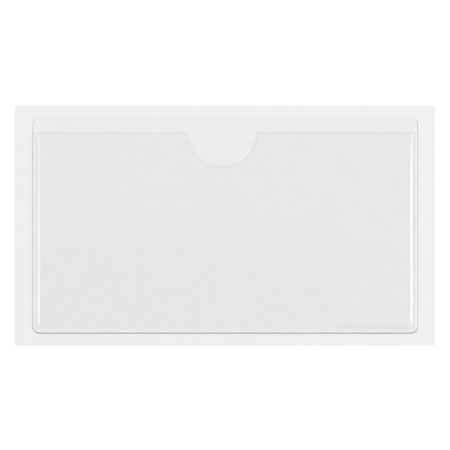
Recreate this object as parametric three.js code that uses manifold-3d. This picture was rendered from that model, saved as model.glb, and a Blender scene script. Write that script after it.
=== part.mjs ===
// A clear, self-adhesive label pocket on its release liner, lying flat with the liner down.
//
// Millimetres. +X runs along the long side, +Y towards the pocket's open edge, and +Z out of its front.
// The origin is the middle of the liner's underside.
//
// Four sheets lie on each other: the paper liner, the adhesive, the back film and the front film.
// The front film is pressed onto the back film along a seam on the left, bottom and right, and stands
// clear of it inside, so that a label slides in from the open edge. A thumb notch is cut in that edge.

import * as THREE from "three";
import { mergeVertices } from "three/addons/utils/BufferGeometryUtils.js";
import Module from "manifold-3d";

const wasm = await Module();
wasm.setup();

// The label card that the pocket takes, and the room left beside, above and under it.
const labelLength = 89;
const labelHeight = 51;
const labelSideClearance = 1.65;
const labelTopMargin = 1.1;
const labelRoom = 0.35;

// Sheet thicknesses.
const linerThickness = 0.12;
const adhesiveThickness = 0.05;
const backFilmThickness = 0.2;
const frontFilmThickness = 0.2;

// The liner shows as a border round the pocket.
const linerSideBorder = 4.25;
const linerEndBorder = 2.9;

// The seam, measured in from the pocket's outer edge: a rounded rim, a pressed land, and a rise.
const seamWidth = 2.1;
const rimWidth = 0.45;
const rimHeight = 0.34;
const edgeHeight = 0.08;
const landStart = 0.85;
const landEnd = 1.3;
const landThickness = 0.14;

// The rim goes on round the back film's bare strip, where it is one film and so lower.
const stripRimHeight = 0.13;

// Corners: of the outline, and of the front film's raised middle.
const outerCornerRadius = 1.8;
const innerCornerRadius = 0.7;

// The open edge: how far it lies below the back film's edge, and its thumb notch.
const openStrip = 3.8;
const notchRadius = 8.6;
const notchOffset = -0.7;
const notchFillet = 0.5;

// How finely curves are cut into flats.
const cornerSteps = 10;
const rimSteps = 5;
const riseSteps = 7;
const notchSteps = 24;

// How far a cutter runs past what it cuts.
const cutterReach = 1;

// Sizes and places that follow from those.
const pocketLength = labelLength + 2 * (labelSideClearance + seamWidth);
const pocketHeight = seamWidth + labelHeight + labelTopMargin;
const linerLength = pocketLength + 2 * linerSideBorder;
const linerHeight = pocketHeight + 2 * linerEndBorder;
const openEdgeY = pocketHeight / 2 - openStrip;
const adhesiveBase = linerThickness;
const backFilmBase = adhesiveBase + adhesiveThickness;
const frontFilmBase = backFilmBase + backFilmThickness;

// One turn round the pocket's outline, set in by inset, at height z, anticlockwise from above.
function pocketRing(inset, z) {
  const towardsInside = Math.min(inset / seamWidth, 1);
  const radius = THREE.MathUtils.lerp(outerCornerRadius, innerCornerRadius, towardsInside);
  const points = [];
  [[1, 1], [-1, 1], [-1, -1], [1, -1]].forEach(([sideX, sideY], quarter) => {
    const centreX = sideX * (pocketLength / 2 - inset - radius);
    const centreY = sideY * (pocketHeight / 2 - inset - radius);
    for (let step = 0; step <= cornerSteps; step += 1) {
      const angle = (quarter + step / cornerSteps) * (Math.PI / 2);
      const x = centreX + radius * Math.cos(angle);
      const y = centreY + radius * Math.sin(angle);
      points.push(new THREE.Vector3(x, y, z));
    }
  });
  return points;
}

// A closed solid through rings of equal length. They run from the underside's middle out to the edge
// and back in over the top, and a fan of triangles closes the first ring and the last.
function loft(rings) {
  const count = rings[0].length;
  const vertices = rings.flat();
  const indices = [];
  for (let level = 0; level + 1 < rings.length; level += 1) {
    for (let j = 0; j < count; j += 1) {
      const here = level * count + j;
      const next = level * count + ((j + 1) % count);
      indices.push(here, next, next + count);
      indices.push(here, next + count, here + count);
    }
  }
  const lastRing = (rings.length - 1) * count;
  const bottomMiddle = vertices.push(new THREE.Vector3(0, 0, rings[0][0].z)) - 1;
  const topMiddle = vertices.push(new THREE.Vector3(0, 0, rings.at(-1)[0].z)) - 1;
  for (let j = 0; j < count; j += 1) {
    const next = (j + 1) % count;
    indices.push(bottomMiddle, next, j);
    indices.push(topMiddle, lastRing + j, lastRing + next);
  }
  const geometry = new THREE.BufferGeometry().setFromPoints(vertices);
  geometry.setIndex(indices);
  return geometry;
}

// A closed geometry as a solid that can be cut.
function solidOf(geometry) {
  const bare = geometry.clone();
  bare.deleteAttribute("normal");
  bare.deleteAttribute("uv");
  const merged = mergeVertices(bare);
  return new wasm.Manifold(new wasm.Mesh({
    numProp: 3,
    vertProperties: merged.attributes.position.array,
    triVerts: new Uint32Array(merged.index.array),
  }));
}

// A cut solid as a geometry again.
function geometryOf(solid) {
  const cut = solid.getMesh();
  const geometry = new THREE.BufferGeometry();
  geometry.setAttribute("position", new THREE.BufferAttribute(cut.vertProperties, 3));
  geometry.setIndex(new THREE.BufferAttribute(cut.triVerts, 1));
  geometry.computeVertexNormals();
  return geometry;
}

// The rim's rounded top as [inset, height] pairs: steep at the outer edge, easy down to the land.
function rimProfile(crown, landHeight) {
  const points = [];
  for (let step = 0; step <= rimSteps; step += 1) {
    const angle = (step / rimSteps) * (Math.PI / 2);
    const inset = rimWidth * (1 - Math.cos(angle));
    points.push([inset, edgeHeight + (crown - edgeHeight) * Math.sin(angle)]);
  }
  for (let step = 1; step <= rimSteps; step += 1) {
    const share = step / rimSteps;
    const fall = (1 - Math.cos(share * Math.PI)) / 2;
    const inset = THREE.MathUtils.lerp(rimWidth, landStart, share);
    points.push([inset, THREE.MathUtils.lerp(crown, landHeight, fall)]);
  }
  return points;
}

// The rise from the land to the raised middle as [inset, height] pairs, outside to inside.
function riseProfile(lowHeight, highHeight) {
  const points = [];
  for (let step = 0; step <= riseSteps; step += 1) {
    const share = step / riseSteps;
    const inset = THREE.MathUtils.lerp(landEnd, seamWidth, share);
    const height = THREE.MathUtils.lerp(lowHeight, highHeight, THREE.MathUtils.smoothstep(share, 0, 1));
    points.push([inset, height]);
  }
  return points;
}

function linerGeometry() {
  const geometry = new THREE.BoxGeometry(linerLength, linerHeight, linerThickness);
  return geometry.translate(0, 0, linerThickness / 2);
}

function adhesiveGeometry() {
  return loft([pocketRing(0, adhesiveBase), pocketRing(0, backFilmBase)]);
}

// The back film is a plate with a low rim, which is left only on the strip above the open edge:
// below it the front film lies on the plate and carries the rim.
function backFilmGeometry() {
  const rim = rimProfile(stripRimHeight, 0);
  const plate = loft([
    pocketRing(0, backFilmBase),
    ...rim.map(([inset, height]) => pocketRing(inset, frontFilmBase + height)),
  ]);
  const cutterLength = pocketLength + 2 * cutterReach;
  const cutterHeight = pocketHeight - openStrip + cutterReach;
  const cutter = new THREE.BoxGeometry(cutterLength, cutterHeight, cutterReach);
  cutter.translate(0, openEdgeY - cutterHeight / 2, frontFilmBase + cutterReach / 2);
  return geometryOf(solidOf(plate).subtract(solidOf(cutter)));
}

// What is cut away above the open edge, with the thumb notch and its rounded corners.
function openEdgeCutter() {
  const filletX = Math.sqrt(notchRadius ** 2 + 2 * notchRadius * notchFillet);
  const meeting = Math.asin(notchFillet / (notchRadius + notchFillet));
  const farX = pocketLength / 2 + cutterReach;
  const farY = pocketHeight / 2 + cutterReach;
  const outline = new THREE.Shape();
  outline.moveTo(farX, openEdgeY);
  outline.lineTo(notchOffset + filletX, openEdgeY);
  outline.absarc(
    notchOffset + filletX, openEdgeY - notchFillet, notchFillet,
    Math.PI / 2, Math.PI - meeting, false,
  );
  outline.absarc(notchOffset, openEdgeY, notchRadius, -meeting, meeting - Math.PI, true);
  outline.absarc(
    notchOffset - filletX, openEdgeY - notchFillet, notchFillet,
    meeting, Math.PI / 2, false,
  );
  outline.lineTo(-farX, openEdgeY);
  outline.lineTo(-farX, farY);
  outline.lineTo(farX, farY);
  const cutter = new THREE.ExtrudeGeometry(outline, {
    depth: labelRoom + frontFilmThickness + 2 * cutterReach,
    bevelEnabled: false,
    curveSegments: notchSteps,
  });
  return cutter.translate(0, 0, frontFilmBase - cutterReach);
}

// The front film: flat under the seam, raised inside it by the room for a label, and open at the top.
function frontFilmGeometry() {
  const underside = riseProfile(0, labelRoom).reverse();
  const top = [
    ...rimProfile(rimHeight, landThickness),
    ...riseProfile(landThickness, labelRoom + frontFilmThickness),
  ];
  const section = [...underside, [0, 0], ...top];
  const film = loft(section.map(([inset, height]) => pocketRing(inset, frontFilmBase + height)));
  return geometryOf(solidOf(film).subtract(solidOf(openEdgeCutter())));
}

const paper = new THREE.MeshStandardMaterial({ color: 0xefefef, roughness: 0.6, metalness: 0 });
const glue = new THREE.MeshStandardMaterial({
  color: 0xf1f1f2, roughness: 0.25, metalness: 0, transparent: true, opacity: 0.2,
});
const clearFilm = new THREE.MeshStandardMaterial({
  color: 0xe6e6e9, roughness: 0.08, metalness: 0, transparent: true, opacity: 0.3,
});

function piece(name, geometry, material) {
  const mesh = new THREE.Mesh(geometry, material);
  mesh.name = name;
  return mesh;
}

const labelPocket = new THREE.Group();
labelPocket.add(
  piece("release_liner", linerGeometry(), paper),
  piece("adhesive_layer", adhesiveGeometry(), glue),
  piece("back_film", backFilmGeometry(), clearFilm),
  piece("front_film", frontFilmGeometry(), clearFilm),
);

export default labelPocket;
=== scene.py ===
"""A clear self-adhesive label pocket on its release liner, lying on a white surface.

Lengths in this script are millimetres until a mesh is written, which is in metres like the frame.
Each sheet is a closed mesh over a plan outline, with a height for its top and its underside.
"""

import math

import bpy
import numpy as np
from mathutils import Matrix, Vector, noise
from mathutils.geometry import delaunay_2d_cdt


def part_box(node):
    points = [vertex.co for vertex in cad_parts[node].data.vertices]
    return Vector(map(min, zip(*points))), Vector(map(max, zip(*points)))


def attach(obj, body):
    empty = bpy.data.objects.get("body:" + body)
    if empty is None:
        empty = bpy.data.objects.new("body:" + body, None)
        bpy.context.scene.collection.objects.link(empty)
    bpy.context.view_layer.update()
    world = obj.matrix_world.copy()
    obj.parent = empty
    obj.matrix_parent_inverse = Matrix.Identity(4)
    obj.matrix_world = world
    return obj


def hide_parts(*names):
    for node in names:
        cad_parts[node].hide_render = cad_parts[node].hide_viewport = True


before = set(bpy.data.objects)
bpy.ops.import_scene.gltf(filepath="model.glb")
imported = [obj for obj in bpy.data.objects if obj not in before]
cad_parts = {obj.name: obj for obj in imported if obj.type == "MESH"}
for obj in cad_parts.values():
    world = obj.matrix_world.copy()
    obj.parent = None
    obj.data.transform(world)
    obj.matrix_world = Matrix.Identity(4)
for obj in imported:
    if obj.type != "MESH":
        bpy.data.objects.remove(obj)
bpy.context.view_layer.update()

MM = 0.001


def box_mm(node):
    """A node's lowest and highest corners in millimetres."""
    low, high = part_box(node)
    return np.array(low) / MM, np.array(high) / MM


_, LINER_HIGH = box_mm("release_liner")
GLUE_LOW, GLUE_HIGH = box_mm("adhesive_layer")
BACK_LOW, BACK_HIGH = box_mm("back_film")
FRONT_LOW, FRONT_HIGH = box_mm("front_film")

HALF_X = FRONT_HIGH[0]
HALF_Y = -FRONT_LOW[1]
OPEN_EDGE = FRONT_HIGH[1]
FRONT_BASE = FRONT_LOW[2]

# The seam, in from the pocket's outline. Its rim is a little narrower and steeper than in the solids.
SEAM_WIDTH = 2.1
RIM_WIDTH = 0.38
RIM_HEIGHT = 0.34
EDGE_HEIGHT = 0.08
LAND_START = 0.68
LAND_END = 1.3
LAND_THICKNESS = 0.14
STRIP_RIM_HEIGHT = BACK_HIGH[2] - FRONT_BASE

# Corners: of the outline, and of the front film's raised middle.
OUTER_RADIUS = 1.8
INNER_RADIUS = 0.7

# Past the open edge, the back film's own rim rises within this length.
STRIP_START = 0.05

# The rise to the panel wanders a little over long stretches, and is drawn out at the open edge.
# Both begin at the land, and are full at an inset of FLARE_FULL.
WANDER = 0.015
WANDER_LENGTH = 12
FLARE = 0.6
FLARE_LENGTH = 0.7
FLARE_FULL = LAND_START + 0.3

# The films and the thumb notch.
FILM_THICKNESS = 0.2
PANEL_HEIGHT = FRONT_HIGH[2] - FRONT_BASE
NOTCH_RADIUS = 8.6
NOTCH_X = -0.7
NOTCH_FILLET = 0.5

# Rounded edges: the front film's cut edge on top, the share of it underneath, and the liner's edges.
CUT_ROUNDING = 0.05
UNDERSIDE_SHARE = 0.5
LINER_ROUNDING = 0.03

# How far the slack panel falls: everywhere, in broad waves and in finer ones. The waves begin where
# the seam ends, and are full at an inset of SLACK_FULL.
PANEL_DROP = 0.003
BROAD_SLACK = 0.016
FINE_SLACK = 0.008
SLACK_FULL = SEAM_WIDTH + 3

# Faces that lie on each other are each set back by this hairline.
HAIRLINE = 0.001

# Points along lines, over open areas and along the flare's rows are about this far apart.
LINE_STEP = 1.0
AREA_STEP = 1.6
FLARE_STEP = 0.3

# Points nearer than this are one: in a line, and in a sheet's mesh.
SAME_POINT = 1e-6
MERGE_DISTANCE = 1e-5

# How finely arcs are cut into flats.
CORNER_STEPS = 12
NOTCH_STEPS = 56
FILLET_STEPS = 8

# Loose points keep this far clear of the seam and of a sheet's top edge, and of the notch.
EDGE_CLEARANCE = 0.6
NOTCH_CLEARANCE = 0.8

# Lines that a mesh keeps, by their inset: on the seam's rim, on its rise, and from the cut edge and
# the liner's edges. Lines for the painted contact shadow lie in the back film, outside the cut edge.
RIM_INSETS = [0.015, 0.04, 0.08, 0.13, 0.19, 0.25, 0.31, 0.38, 0.45, 0.52, 0.6, 0.68, 0.76, 0.85]
SLOPE_INSETS = [1.0, 1.15, *np.linspace(1.2, 2.3, 16)]
CUT_INSETS = [0.008, 0.02, 0.035, 0.05, 0.1, 0.17, 0.25, 0.35, 0.45]
CONTACT_OFFSETS = [0.0, 0.05, 0.1, 0.16]
LINER_INSETS = [0.006, 0.015, 0.03, 0.6]

# Lines across the rise, by how far they lie below the open edge, and their reach from the outline.
FLARE_ROWS = [0.7, 1.0, 1.4, 1.9]
FLARE_REACH = 2.6


# Plan curves


def arc(centre, radius, start, end, steps):
    """Points on an arc, from one angle in radians to another."""
    angles = np.linspace(start, end, steps + 1)
    x = centre[0] + radius * np.cos(angles)
    y = centre[1] + radius * np.sin(angles)
    return list(zip(x, y))


def straight(start, end, step=LINE_STEP):
    """Points on a straight line, both ends included."""
    steps = max(1, round(math.dist(start, end) / step))
    shares = np.linspace(0, 1, steps + 1)
    x = start[0] + (end[0] - start[0]) * shares
    y = start[1] + (end[1] - start[1]) * shares
    return list(zip(x, y))


def joined(*runs):
    """Runs of points as one line, without the doubles where they meet."""
    line = []
    for point in (p for run in runs for p in run):
        if not line or math.dist(point, line[-1]) > SAME_POINT:
            line.append(point)
    return line


def rectangle(half_x, half_y):
    """The corners of a rectangle round the middle, anticlockwise."""
    return [(-half_x, -half_y), (half_x, -half_y), (half_x, half_y), (-half_x, half_y)]


def rectangle_sides(half_x, half_y):
    """A rectangle's four sides, each as a line of points."""
    corners = rectangle(half_x, half_y)
    return [straight(a, b) for a, b in zip(corners, corners[1:] + corners[:1])]


def ring_radius(inset):
    """The corner radius of a ring, which shrinks across the seam."""
    share = min(max(inset / SEAM_WIDTH, 0), 1)
    return OUTER_RADIUS + (INNER_RADIUS - OUTER_RADIUS) * share


def lower_ring(inset, top):
    """A ring of the seam from its left end at height top, round the bottom, to its right end."""
    radius = ring_radius(inset)
    x = HALF_X - inset
    y = HALF_Y - inset
    return joined(
        straight((-x, top), (-x, -y + radius)),
        arc((-x + radius, -y + radius), radius, math.pi, 1.5 * math.pi, CORNER_STEPS),
        straight((-x + radius, -y), (x - radius, -y)),
        arc((x - radius, -y + radius), radius, -0.5 * math.pi, 0, CORNER_STEPS),
        straight((x, -y + radius), (x, top)),
    )


def full_ring(inset):
    """A closed ring round the whole pocket, anticlockwise, without a doubled last point."""
    radius = ring_radius(inset)
    x = HALF_X - inset
    y = HALF_Y - inset
    upper = joined(
        arc((x - radius, y - radius), radius, 0, 0.5 * math.pi, CORNER_STEPS),
        straight((x - radius, y), (-x + radius, y)),
        arc((-x + radius, y - radius), radius, 0.5 * math.pi, math.pi, CORNER_STEPS),
    )
    return joined(lower_ring(inset, y - radius), upper)[:-1]


def cut_edge(inset):
    """The front film's open edge, set in by inset, from right to left round the thumb notch."""
    y = OPEN_EDGE - inset
    notch = NOTCH_RADIUS + inset
    fillet = NOTCH_FILLET - inset
    across = math.sqrt(NOTCH_RADIUS**2 + 2 * NOTCH_RADIUS * NOTCH_FILLET)
    meeting = math.asin(NOTCH_FILLET / (NOTCH_RADIUS + NOTCH_FILLET))
    left = (NOTCH_X - across, OPEN_EDGE - NOTCH_FILLET)
    right = (NOTCH_X + across, OPEN_EDGE - NOTCH_FILLET)
    return joined(
        straight((HALF_X, y), (right[0], y)),
        arc(right, fillet, 0.5 * math.pi, math.pi - meeting, FILLET_STEPS),
        arc((NOTCH_X, OPEN_EDGE), notch, -meeting, meeting - math.pi, NOTCH_STEPS),
        arc(left, fillet, meeting, 0.5 * math.pi, FILLET_STEPS),
        straight((left[0], y), (-HALF_X, y)),
    )


# Shares and distances over the plan


def smooth(share):
    """A share from nought to one, eased at both ends."""
    share = np.clip(share, 0, 1)
    return share * share * (3 - 2 * share)


def ramp(value, start, end):
    """Nought up to start and one from end on, eased between them. End may be below start."""
    return smooth((value - start) / (end - start))


def band(value, start, end, soft):
    """One between start and end, falling to nought over soft on each side."""
    return smooth((value - start + soft) / soft) * smooth((end + soft - value) / soft)


def inset_at(x, y):
    """How far in from the pocket's outline a point lies, round the corners as the rings go.

    Near a corner it is the inset whose arc goes through the point, which a quadratic gives.
    """
    spare_x = np.abs(x) - (HALF_X - OUTER_RADIUS)
    spare_y = np.abs(y) - (HALF_Y - OUTER_RADIUS)
    shrink = (OUTER_RADIUS - INNER_RADIUS) / SEAM_WIDTH
    drift = 1 - shrink
    a = 2 * drift**2 - shrink**2
    b = 2 * drift * (spare_x + spare_y) + 2 * OUTER_RADIUS * shrink
    c = spare_x**2 + spare_y**2 - OUTER_RADIUS**2
    root = (-b + np.sqrt(np.maximum(b * b - 4 * a * c, 0))) / (2 * a)
    in_corner = (spare_x + drift * root > 0) & (spare_y + drift * root > 0) & (root < SEAM_WIDTH)
    return np.where(in_corner, root, np.minimum(HALF_X - np.abs(x), HALF_Y - np.abs(y)))


def cut_distance(x, y):
    """How far a point of the front film lies from its open edge or notch. Past them it is negative."""
    to_line = OPEN_EDGE - y
    to_notch = np.hypot(x - NOTCH_X, y - OPEN_EDGE) - NOTCH_RADIUS
    near_line = np.maximum(NOTCH_FILLET - to_line, 0)
    near_notch = np.maximum(NOTCH_FILLET - to_notch, 0)
    rounded = NOTCH_FILLET - np.hypot(near_line, near_notch)
    both = (near_line > 0) & (near_notch > 0)
    return np.where(both, rounded, np.minimum(to_line, to_notch))


def bare_share(y):
    """One on the back film's bare strip, and nought below the open edge."""
    return np.clip((y - OPEN_EDGE) / STRIP_START, 0, 1)


def notch_share(x):
    """One over the thumb notch, and nought along the straight open edge."""
    return ramp(np.abs(x - NOTCH_X), NOTCH_RADIUS + 1, NOTCH_RADIUS)


def by_side(x, y, left=0.0, right=0.0, bottom=0.0, top=0.0):
    """A value that differs from side to side of the seam, and blends round its corners."""
    blend = 3
    across = HALF_X - np.abs(x)
    along = HALF_Y - np.abs(y)
    at_side = smooth((along - across) / blend + 0.5)
    sideways = np.where(x > 0, right, left)
    endways = np.where(y > 0, top, bottom)
    return at_side * sideways + (1 - at_side) * endways


def waves(x, y, size, seed):
    """Smooth noise from -1 to 1 over the plan, with features of about the given size."""
    points = zip(x / size, y / size)
    return np.array([noise.noise(Vector((px, py, seed))) for px, py in points])


# Heights


def rim_height(inset, crown, land):
    """The rounded rim: steep at the outline, easy down to the land inside it."""
    outer = np.clip(1 - inset / RIM_WIDTH, 0, 1)
    rise = EDGE_HEIGHT + (crown - EDGE_HEIGHT) * np.sqrt(1 - outer**2)
    fall = ramp(inset, RIM_WIDTH, LAND_START)
    return np.where(inset < RIM_WIDTH, rise, crown + (land - crown) * fall)


def edge_rounding(distance, rounding):
    """How far a face falls away towards an edge."""
    near = np.clip(1 - distance / rounding, 0, 1)
    return rounding * (1 - np.sqrt(1 - near**2))


def seam_inset(x, y):
    """The inset that the front film's rise follows, with its wander and its flare at the open edge."""
    inset = inset_at(x, y)
    wander = WANDER * waves(x, y, size=WANDER_LENGTH, seed=3.1)
    flare = FLARE * np.exp(-(OPEN_EDGE - y) / FLARE_LENGTH)
    return inset + (wander + flare) * ramp(inset, LAND_START, FLARE_FULL)


def panel_relief(x, y, inset):
    """The slack of the front film's panel, as a fall below its flat height."""
    broad = BROAD_SLACK * (1 + waves(x, y, size=14, seed=1.7)) / 2
    fine = FINE_SLACK * (1 + waves(x, y, size=5, seed=5.2)) / 2
    return PANEL_DROP + (broad + fine) * ramp(inset, SEAM_WIDTH, SLACK_FULL)


def front_top(x, y):
    inset = seam_inset(x, y)
    rise = ramp(inset, LAND_END, SEAM_WIDTH)
    height = rim_height(inset, RIM_HEIGHT, LAND_THICKNESS) + (PANEL_HEIGHT - LAND_THICKNESS) * rise
    fall = panel_relief(x, y, inset) * rise + edge_rounding(cut_distance(x, y), CUT_ROUNDING)
    return FRONT_BASE + height - fall


def front_underside(x, y):
    inset = seam_inset(x, y)
    rise = ramp(inset, LAND_END, SEAM_WIDTH)
    height = (PANEL_HEIGHT - FILM_THICKNESS - panel_relief(x, y, inset)) * rise
    lift = edge_rounding(cut_distance(x, y), CUT_ROUNDING) * UNDERSIDE_SHARE
    return FRONT_BASE + HAIRLINE + height + lift


def back_top(x, y):
    rim = rim_height(inset_at(x, y), STRIP_RIM_HEIGHT, 0)
    return FRONT_BASE - HAIRLINE + bare_share(y) * rim


def liner_rounding(x, y):
    """How far the liner's faces fall away towards its edges."""
    distance = np.minimum(LINER_HIGH[0] - np.abs(x), LINER_HIGH[1] - np.abs(y))
    return edge_rounding(distance, LINER_ROUNDING)


def level(height):
    """A flat face at a height."""
    return lambda x, y: np.full_like(x, height)


# Painted shade on the films, by place: how much they darken what is under them, as a share of their grey

# A band that starts here takes in the outline or the cut edge itself.
OUTSIDE = -1


def front_painted_shade(x, y):
    """Painted shade: along the outline, darkest at the bottom, in a groove on the right, at the panel's
    foot, over the panel's lower part, and along the cut edge.
    """
    inset = inset_at(x, y)
    line = by_side(x, y, left=0.22, right=0.2, bottom=0.3)
    outer = band(inset, OUTSIDE, 0.2, soft=0.1) * line
    width = by_side(x, y, left=0.28, right=0.28, bottom=0.38, top=0.28)
    edge = band(inset, OUTSIDE, width, soft=0.1) * by_side(x, y, left=0.22, right=0.28, bottom=0.4)
    deeper_in_middle = 0.01 + 0.065 * band(y, -7.5, 13, soft=3)
    groove = band(inset, 0.8, 1.35, soft=0.15) * by_side(x, y, right=deeper_in_middle)
    deeper_on_right = 0.02 + 0.04 * ramp(x, 20, 32)
    foot = band(inset, 1.4, 2.1, soft=0.3) * by_side(x, y, bottom=deeper_on_right)
    shade = 0.031 * ramp(y, 14, -20) * (1 - 0.7 * ramp(x, 22, 36))
    return outer + edge + groove + foot + ramp(inset, 1.8, 2.4) * (shade + cut_line(x, y))


def cut_line(x, y):
    """A painted shade line along the open edge and the thumb notch, weakest on the notch's left."""
    distance = cut_distance(x, y)
    radius = np.maximum(np.hypot(x - NOTCH_X, y - OPEN_EDGE), 0.01)
    towards_right = (x - NOTCH_X) / radius
    straight_line = band(distance, 0.15, 0.36, soft=0.08) * (0.16 + 0.03 * np.sign(x))
    strength = 0.05 + 0.2 * ramp(towards_right, -1, -0.2) + 0.05 * towards_right
    notch_line = band(distance, OUTSIDE, 0.06, soft=0.1) * strength
    share = notch_share(x)
    return straight_line * (1 - share) + notch_line * share


def back_painted_shade(x, y):
    """Painted shade along the edges of the bare strip, darkest at its sides, and a faint painted contact
    shadow in the notch.
    """
    inset = inset_at(x, y)
    left_line = band(inset, 0.14, 0.4, soft=0.06) * by_side(x, y, left=0.36)
    right_line = band(inset, 0.1, 0.23, soft=0.05) * by_side(x, y, right=0.6)
    below_corner = ramp(HALF_Y - y, 0.4, 1.3)
    top_line = band(inset, 0.25, 0.5, soft=0.12) * by_side(x, y, top=0.022)
    edges = (left_line + right_line) * below_corner + top_line
    contact_shadow = band(-cut_distance(x, y), 0, 0.1, soft=0.06) * 0.05 * notch_share(x)
    return bare_share(y) * edges + contact_shadow


# How much the films shine, by place, as a multiple of a clear face's gloss


def back_shine(x, y):
    """The back film shines where air lies on it: inside the seam and on the strip, at its rims most."""
    inset = inset_at(x, y)
    rim = band(inset, 0.4, 0.68, soft=0.08) * by_side(x, y, left=12, right=7)
    return np.maximum(ramp(inset, LAND_END, 1.8), bare_share(y) * (1 + rim))


def front_shine(x, y):
    """The front film shines all over, most in the bottom seam and least on its left rim's inner slope.

    The rise to the panel shines more than the panel does, on the left most, and less near the open edge.
    """
    inset = inset_at(x, y)
    rim = band(inset, 0.4, 0.65, soft=0.1) * by_side(x, y, left=-0.4, right=0.7)
    seam = band(inset, 0.5, 0.9, soft=0.15) * by_side(x, y, bottom=4.5)
    left = 0.45 + 0.3 * ramp(y, -14, -19) - 0.5 * ramp(y, 4, 10)
    right = 0.12 - 0.4 * ramp(y, 12, 18)
    rise = band(inset, 1.4, 1.9, soft=0.15) * by_side(x, y, left=left, right=right)
    return 1 + rim + seam + rise


# Meshes


def slope_normals(height, x, y):
    """Unit normals of a height over the plan, pointing up, by small steps to each side."""
    step = 0.002
    slope_x = (height(x + step, y) - height(x - step, y)) / (2 * step)
    slope_y = (height(x, y + step) - height(x, y - step)) / (2 * step)
    normals = np.column_stack([-slope_x, -slope_y, np.ones_like(x)])
    return normals / np.linalg.norm(normals, axis=1, keepdims=True)


def rim_normals(plan, rim):
    """Level normals that point out of each of the rim's edges."""
    along = plan[rim[:, 1]] - plan[rim[:, 0]]
    outward = np.column_stack([along[:, 1], -along[:, 0], np.zeros(len(rim))])
    return outward / np.linalg.norm(outward, axis=1, keepdims=True)


def grid_points(outline):
    """Loose points over the middle of an outline, in offset rows.

    A sheet that ends at the open edge has none in its notch.
    """
    low = np.min(outline, axis=0)
    high = np.max(outline, axis=0)
    clear = SEAM_WIDTH + EDGE_CLEARANCE
    past_open_edge = high[1] > OPEN_EDGE + LINE_STEP
    points = []
    for row, y in enumerate(np.arange(low[1] + clear, high[1] - EDGE_CLEARANCE, AREA_STEP)):
        shift = AREA_STEP / 2 * (row % 2)
        for x in np.arange(low[0] + clear + shift, high[0] - clear, AREA_STEP):
            in_notch = math.dist((x, y), (NOTCH_X, OPEN_EDGE)) < NOTCH_RADIUS + NOTCH_CLEARANCE
            if past_open_edge or not in_notch:
                points.append((x, y))
    return points


def triangulated(outline, guides):
    """Plan points and triangles that fill an outline and keep its guides."""
    points = list(outline)
    edges = [(i, (i + 1) % len(outline)) for i in range(len(outline))]
    for line in guides:
        start = len(points)
        points += line
        edges += [(start + i, start + i + 1) for i in range(len(line) - 1)]
    points += grid_points(outline)
    inside_only = 1
    plan, _, triangles, *_ = delaunay_2d_cdt(
        [Vector(p) for p in points], edges, [list(range(len(outline)))], inside_only, MERGE_DISTANCE
    )
    return np.array([tuple(p) for p in plan]), triangles


def sheet(name, outline, guides, top, underside, **fields):
    """A closed sheet over a plan outline. Guides are lines that its mesh keeps.

    Each field is a function of plan position, kept for the shader as a point attribute.
    It holds on the top face, and is nought underneath.
    """
    plan, triangles = triangulated(outline, guides)
    x, y = plan[:, 0], plan[:, 1]
    count = len(plan)
    upper = np.column_stack([x, y, top(x, y)])
    lower = np.column_stack([x, y, underside(x, y)])
    vertices = np.vstack([upper, lower]) * MM

    directed = {(t[i], t[(i + 1) % 3]) for t in triangles for i in range(3)}
    rim = sorted((a, b) for a, b in directed if (b, a) not in directed)
    faces = [tuple(t) for t in triangles]
    faces += [tuple(count + i for i in reversed(t)) for t in triangles]
    smooth_faces = len(faces)
    faces += [(count + a, count + b, b, a) for a, b in rim]

    mesh = bpy.data.meshes.new(name)
    mesh.from_pydata(vertices.tolist(), [], faces)
    mesh.polygons.foreach_set("use_smooth", np.arange(len(faces)) < smooth_faces)
    for field, value in fields.items():
        attribute = mesh.attributes.new(field, "FLOAT", "POINT")
        over = np.asarray(value(x, y), dtype=np.float32)
        attribute.data.foreach_set("value", np.concatenate([over, np.zeros(count, np.float32)]))
    mesh.validate()
    point_normals = np.vstack([slope_normals(top, x, y), -slope_normals(underside, x, y)])
    over_and_under = point_normals[np.ravel(faces[:smooth_faces])]
    side_corners = 4
    sides = np.repeat(rim_normals(plan, np.array(rim)), side_corners, axis=0)
    mesh.normals_split_custom_set(np.vstack([over_and_under, sides]).tolist())
    piece = bpy.data.objects.new(name, mesh)
    bpy.context.collection.objects.link(piece)
    return piece


def front_sheet():
    outline = joined(lower_ring(0, OPEN_EDGE), cut_edge(0))[:-1]
    guides = [lower_ring(inset, OPEN_EDGE) for inset in RIM_INSETS + SLOPE_INSETS]
    guides += [cut_edge(inset) for inset in CUT_INSETS]
    for side in (-1, 1):
        for fall in FLARE_ROWS:
            outer = (side * HALF_X, OPEN_EDGE - fall)
            inner = (side * (HALF_X - FLARE_REACH), OPEN_EDGE - fall)
            guides.append(straight(outer, inner, FLARE_STEP))
    return sheet(
        "front_sheet", outline, guides, front_top, front_underside,
        shine=front_shine,
        dark=front_painted_shade,
    )


def back_sheet():
    rings = [full_ring(inset) for inset in RIM_INSETS + [LAND_END, SEAM_WIDTH]]
    guides = [ring + ring[:1] for ring in rings]
    guides += [cut_edge(-outside) for outside in CONTACT_OFFSETS]
    for rise in (0, STRIP_START):
        guides.append(straight((-HALF_X, OPEN_EDGE + rise), (HALF_X, OPEN_EDGE + rise)))
    return sheet(
        "back_sheet", full_ring(0), guides, back_top, level(BACK_LOW[2] + HAIRLINE),
        shine=back_shine,
        dark=back_painted_shade,
    )


def glue_sheet():
    top = level(GLUE_HIGH[2] - HAIRLINE)
    underside = level(GLUE_LOW[2] + HAIRLINE)
    return sheet("glue_sheet", full_ring(0), [], top, underside)


def liner_sheet():
    half_x, half_y = LINER_HIGH[:2]
    outline = joined(*rectangle_sides(half_x, half_y))[:-1]
    guides = []
    for inset in LINER_INSETS:
        guides += rectangle_sides(half_x - inset, half_y - inset)
    return sheet(
        "liner_sheet", outline, guides,
        lambda x, y: LINER_HIGH[2] - HAIRLINE - liner_rounding(x, y),
        liner_rounding,
    )


# Shader parts


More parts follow.
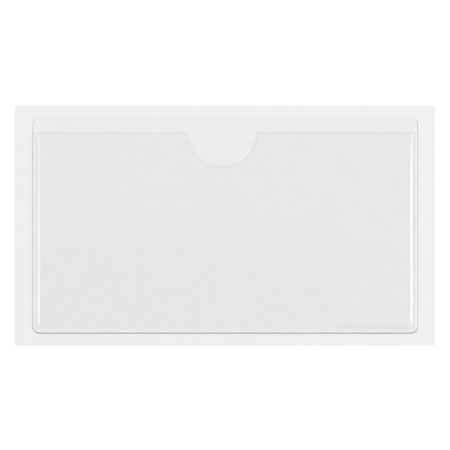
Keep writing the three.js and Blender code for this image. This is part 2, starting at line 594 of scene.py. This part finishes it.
def new_material(name):
    material = bpy.data.materials.new(name)
    material.use_nodes = True
    tree = material.node_tree
    tree.nodes.clear()
    return material, tree


def math_node(tree, operation, first, second, clamp=False):
    node = tree.nodes.new("ShaderNodeMath")
    node.operation = operation
    node.use_clamp = clamp
    for socket, value in zip(node.inputs, (first, second)):
        if isinstance(value, (int, float)):
            socket.default_value = value
        else:
            tree.links.new(value, socket)
    return node.outputs[0]


def noise_value(tree, size, stretch=(1, 1, 1), detail=2.0, seed=0.0):
    """Noise from 0 to 1 over the object, with features of about size millimetres."""
    place = tree.nodes.new("ShaderNodeTexCoord")
    mapping = tree.nodes.new("ShaderNodeMapping")
    mapping.inputs["Scale"].default_value = [1 / (size * MM * s) for s in stretch]
    mapping.inputs["Location"].default_value = (seed, seed * 0.7, 0)
    tree.links.new(place.outputs["Object"], mapping.inputs["Vector"])
    texture = tree.nodes.new("ShaderNodeTexNoise")
    texture.inputs["Scale"].default_value = 1.0
    texture.inputs["Detail"].default_value = detail
    tree.links.new(mapping.outputs["Vector"], texture.inputs["Vector"])
    return texture.outputs["Fac"]


def ranged(tree, value, low, high, to_low, to_high):
    """A value from low to high, stretched to reach from to_low to to_high."""
    node = tree.nodes.new("ShaderNodeMapRange")
    tree.links.new(value, node.inputs["Value"])
    node.inputs["From Min"].default_value = low
    node.inputs["From Max"].default_value = high
    node.inputs["To Min"].default_value = to_low
    node.inputs["To Max"].default_value = to_high
    return node.outputs["Result"]


def attribute(tree, name):
    node = tree.nodes.new("ShaderNodeAttribute")
    node.attribute_name = name
    return node.outputs["Fac"]


def mixed(tree, share, first, second):
    node = tree.nodes.new("ShaderNodeMixShader")
    tree.links.new(share, node.inputs["Fac"])
    tree.links.new(first, node.inputs[1])
    tree.links.new(second, node.inputs[2])
    return node.outputs[0]


def finish_material(tree, shader):
    output = tree.nodes.new("ShaderNodeOutputMaterial")
    tree.links.new(shader, output.inputs["Surface"])


def matt_shader(tree, colour):
    """A matt body of one colour."""
    node = tree.nodes.new("ShaderNodeBsdfPrincipled")
    node.inputs["Base Color"].default_value = (*colour, 1)
    node.inputs["Roughness"].default_value = 0.5
    node.inputs["Specular IOR Level"].default_value = 0
    return node.outputs[0]


def clear_shader(tree, tint=1.0):
    """A clear body that passes the share tint of the light."""
    node = tree.nodes.new("ShaderNodeBsdfTransparent")
    node.inputs["Color"].default_value = (tint, tint, tint, 1)
    return node.outputs[0]


def gloss_shader(tree):
    """A white gloss, soft as seen from above and sharper as a ray comes in flatter."""
    node = tree.nodes.new("ShaderNodeBsdfGlossy")
    node.inputs["Color"].default_value = (1, 1, 1, 1)
    facing = tree.nodes.new("ShaderNodeLayerWeight").outputs["Facing"]
    roughness = ranged(tree, facing, low=0.5, high=0.8, to_low=0.22, to_high=0.05)
    tree.links.new(roughness, node.inputs["Roughness"])
    return node.outputs[0]


def face_mirror(tree, head_on):
    """The share of light that a clear face mirrors, from head_on upwards as a ray comes in flatter.

    It is the same from both sides, because light inside a thin film never meets its face flatly.
    """
    flat_on = 0.6
    steepness = 5.0
    facing = tree.nodes.new("ShaderNodeLayerWeight")
    facing.inputs["Blend"].default_value = 0.5
    flatness = math_node(tree, "POWER", facing.outputs["Facing"], steepness)
    return math_node(tree, "ADD", math_node(tree, "MULTIPLY", flatness, flat_on - head_on), head_on)


def seen_only(tree, share):
    """A share of cloudiness, milk, painted shade or gloss as it is seen. Light on its way to the paper
    isn't held back by it.
    """
    path = tree.nodes.new("ShaderNodeLightPath")
    passing = math_node(tree, "MAXIMUM", path.outputs["Is Shadow Ray"], path.outputs["Is Diffuse Ray"])
    return math_node(tree, "MULTIPLY", share, math_node(tree, "SUBTRACT", 1.0, passing), clamp=True)


# Materials

# The grey that the films show where they are hazy, and the shade painted where they are creased or cut.
FILM_HAZE_AND_SHADE = (0.28, 0.27, 0.31)

# The adhesive's milk, a little cool.
GLUE_MILK = (0.78, 0.77, 0.84)

# The liner's paper, in each of red, green and blue.
PAPER_WHITE = 0.868


def film_material(name, tint, mirror, streaks):
    """Clear film: it mirrors a little at its free face, and is painted darker, as shade, where it is
    creased or cut.

    Each face passes the share tint of the light, and mirrors the share mirror head on.
    """
    material, tree = new_material(name)
    cloud = noise_value(tree, size=6, detail=3, seed=4)
    cloud_haze = ranged(tree, cloud, low=0.35, high=0.7, to_low=0.0, to_high=0.003)
    # The dark attribute is painted shade; the cloud and streaks are the film's own cloudiness.
    haze_and_painted_shade = math_node(tree, "ADD", attribute(tree, "dark"), cloud_haze)
    if streaks:
        streak = noise_value(tree, size=0.7, stretch=(18, 1, 1), detail=1, seed=11)
        streak_haze = ranged(tree, streak, low=0.45, high=0.75, to_low=0.0, to_high=0.004)
        haze_and_painted_shade = math_node(tree, "ADD", haze_and_painted_shade, streak_haze)
    body = mixed(tree, seen_only(tree, haze_and_painted_shade), clear_shader(tree, tint), matt_shader(tree, FILM_HAZE_AND_SHADE))
    mirrored = math_node(tree, "MULTIPLY", face_mirror(tree, mirror), attribute(tree, "shine"))
    finish_material(tree, mixed(tree, seen_only(tree, mirrored), body, gloss_shader(tree)))
    return material


def glue_material():
    """Clear adhesive: faintly milky and cool, and cloudy where it wets the film unevenly."""
    material, tree = new_material("clear_adhesive")
    broad = noise_value(tree, size=11, detail=4, seed=2)
    fine = noise_value(tree, size=2.2, detail=3, seed=7)
    broad_milk = ranged(tree, broad, low=0.35, high=0.7, to_low=0.13, to_high=0.17)
    fine_milk = ranged(tree, fine, low=0.4, high=0.7, to_low=-0.006, to_high=0.006)
    milk = math_node(tree, "ADD", broad_milk, fine_milk)
    milky = matt_shader(tree, GLUE_MILK)
    finish_material(tree, mixed(tree, seen_only(tree, milk), clear_shader(tree), milky))
    return material


def paper_material():
    """Smooth white liner paper with a faint fibre mottle and a nearly matt face."""
    material, tree = new_material("liner_paper")
    fibres = noise_value(tree, size=0.9, stretch=(2.5, 1, 1), detail=4, seed=1)
    clouds = noise_value(tree, size=9, detail=2, seed=3)
    fibre_shade = ranged(tree, fibres, low=0.3, high=0.7, to_low=-0.004, to_high=0.004)
    cloud_shade = ranged(tree, clouds, low=0.3, high=0.7, to_low=-0.003, to_high=0.003)
    shade = math_node(tree, "ADD", fibre_shade, cloud_shade)
    white = math_node(tree, "ADD", shade, PAPER_WHITE)
    colour = tree.nodes.new("ShaderNodeCombineColor")
    for socket in colour.inputs:
        tree.links.new(white, socket)
    node = tree.nodes.new("ShaderNodeBsdfPrincipled")
    tree.links.new(colour.outputs[0], node.inputs["Base Color"])
    node.inputs["Roughness"].default_value = 0.75
    node.inputs["Specular IOR Level"].default_value = 0.1
    bump = tree.nodes.new("ShaderNodeBump")
    bump.inputs["Strength"].default_value = 0.1
    bump.inputs["Distance"].default_value = 0.01 * MM
    tree.links.new(fibres, bump.inputs["Height"])
    tree.links.new(bump.outputs[0], node.inputs["Normal"])
    finish_material(tree, node.outputs[0])
    return material


# Surroundings, in metres


def white_floor():
    """A white surface that goes out as plain white in the picture but still takes a shadow."""
    matt_white = 0.8
    glow_strength = 0.26
    reach = 0.6
    depth = -0.02 * MM
    material, tree = new_material("floor_white")
    matt = tree.nodes.new("ShaderNodeBsdfDiffuse")
    matt.inputs["Color"].default_value = (matt_white, matt_white, matt_white, 1)
    glow = tree.nodes.new("ShaderNodeEmission")
    seen = tree.nodes.new("ShaderNodeLightPath")
    rays = math_node(tree, "ADD", seen.outputs["Is Camera Ray"], seen.outputs["Is Glossy Ray"])
    tree.links.new(math_node(tree, "MULTIPLY", rays, glow_strength), glow.inputs["Strength"])
    both = tree.nodes.new("ShaderNodeAddShader")
    tree.links.new(matt.outputs[0], both.inputs[0])
    tree.links.new(glow.outputs[0], both.inputs[1])
    finish_material(tree, both.outputs[0])

    mesh = bpy.data.meshes.new("floor")
    corners = [(x, y, depth) for x, y in rectangle(reach, reach)]
    mesh.from_pydata(corners, [], [(0, 1, 2, 3)])
    mesh.materials.append(material)
    floor = bpy.data.objects.new("floor", mesh)
    bpy.context.collection.objects.link(floor)


def studio_world(lighting):
    """White surroundings: plain white to the camera and in reflections, softer as a light."""
    world = bpy.data.worlds.new("studio")
    bpy.context.scene.world = world
    world.use_nodes = True
    tree = world.node_tree
    tree.nodes.clear()
    seen = tree.nodes.new("ShaderNodeLightPath")
    rays = math_node(tree, "MAXIMUM", seen.outputs["Is Camera Ray"], seen.outputs["Is Glossy Ray"])
    rays = math_node(tree, "MAXIMUM", rays, seen.outputs["Is Transmission Ray"])
    strength = ranged(tree, rays, low=0, high=1, to_low=lighting, to_high=1.0)
    background = tree.nodes.new("ShaderNodeBackground")
    background.inputs["Color"].default_value = (1, 1, 1, 1)
    tree.links.new(strength, background.inputs["Strength"])
    output = tree.nodes.new("ShaderNodeOutputWorld")
    tree.links.new(background.outputs[0], output.inputs["Surface"])


def soft_lamp(name, place, size, power):
    """A rectangular softbox that faces the object."""
    lamp = bpy.data.lights.new(name, "AREA")
    lamp.shape = "RECTANGLE"
    lamp.size, lamp.size_y = size
    lamp.energy = power
    holder = bpy.data.objects.new(name, lamp)
    holder.location = place
    holder.rotation_euler = Vector(place).to_track_quat("Z", "Y").to_euler()
    bpy.context.collection.objects.link(holder)


def camera():
    """Looks straight down, so that the picture is picture_width millimetres across at FRONT_BASE.

    The middle of the pocket is seen at centre_pixels.
    """
    picture_width = 112.5
    picture_pixels = 450
    centre_pixels = (225.25, 225.4)
    lens = bpy.data.cameras.new("camera")
    lens.lens = 135
    lens.sensor_width = 36
    distance = picture_width * lens.lens / lens.sensor_width
    pixel = picture_width / picture_pixels
    holder = bpy.data.objects.new("camera", lens)
    x = -(centre_pixels[0] - picture_pixels / 2) * pixel
    y = (centre_pixels[1] - picture_pixels / 2) * pixel
    holder.location = Vector((x, y, distance + FRONT_BASE)) * MM
    bpy.context.collection.objects.link(holder)
    bpy.context.scene.camera = holder


# The model

back_clear = film_material("back_film_clear", tint=1.0, mirror=0.02, streaks=True)
front_clear = film_material("front_film_clear", tint=0.9855, mirror=0.034, streaks=False)
pieces = [
    (liner_sheet(), "release_liner", "liner_paper", paper_material()),
    (glue_sheet(), "adhesive_layer", "clear_adhesive", glue_material()),
    (back_sheet(), "back_film", "clear_film", back_clear),
    (front_sheet(), "front_film", "clear_film", front_clear),
]
for piece, node, slot, material in pieces:
    piece.data.materials.append(material)
    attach(piece, "root")
    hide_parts(node)

white_floor()
studio_world(lighting=0.634)
soft_lamp("lamp_left", place=(-1.9, 0.1, 0.66), size=(1.25, 0.85), power=12)
soft_lamp("lamp_right", place=(1.9, 0.1, 0.66), size=(1.25, 0.5), power=25.5)
soft_lamp("lamp_top", place=(0.0, 1.8, 1.2), size=(1.6, 0.7), power=7)
camera()

scene = bpy.context.scene
scene.view_settings.view_transform = "Standard"
scene.cycles.transparent_max_bounces = 32
